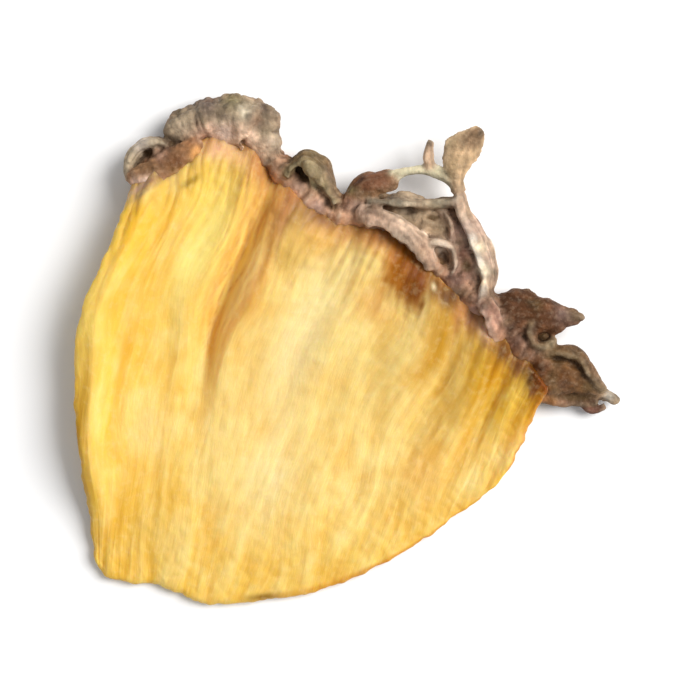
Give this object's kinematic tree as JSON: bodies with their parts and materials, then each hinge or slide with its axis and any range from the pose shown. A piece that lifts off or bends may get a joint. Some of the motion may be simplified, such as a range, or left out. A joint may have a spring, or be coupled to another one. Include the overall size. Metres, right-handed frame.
{
  "type": "dried pineapple",
  "caption": "Dried pineapple wedge with its rind on: a thin fan of fibrous flesh, arched along its left cut, edged by curled rind lobes and a papery bract, lying flat",
  "frame": {"origin": "on the table, under the middle of the box round the whole piece", "axes": "+X to the right and +Y up in the picture, which looks straight down, so the rind lies towards +X and +Y; +Z is up off the table"},
  "size_m": [0.0529, 0.0498, 0.0066],
  "materials": {
    "flesh": "satin",
    "rind": "matte"
  },
  "bodies": {
    "root": {"dried_pineapple": "flesh"}
  },
  "joints": []
}
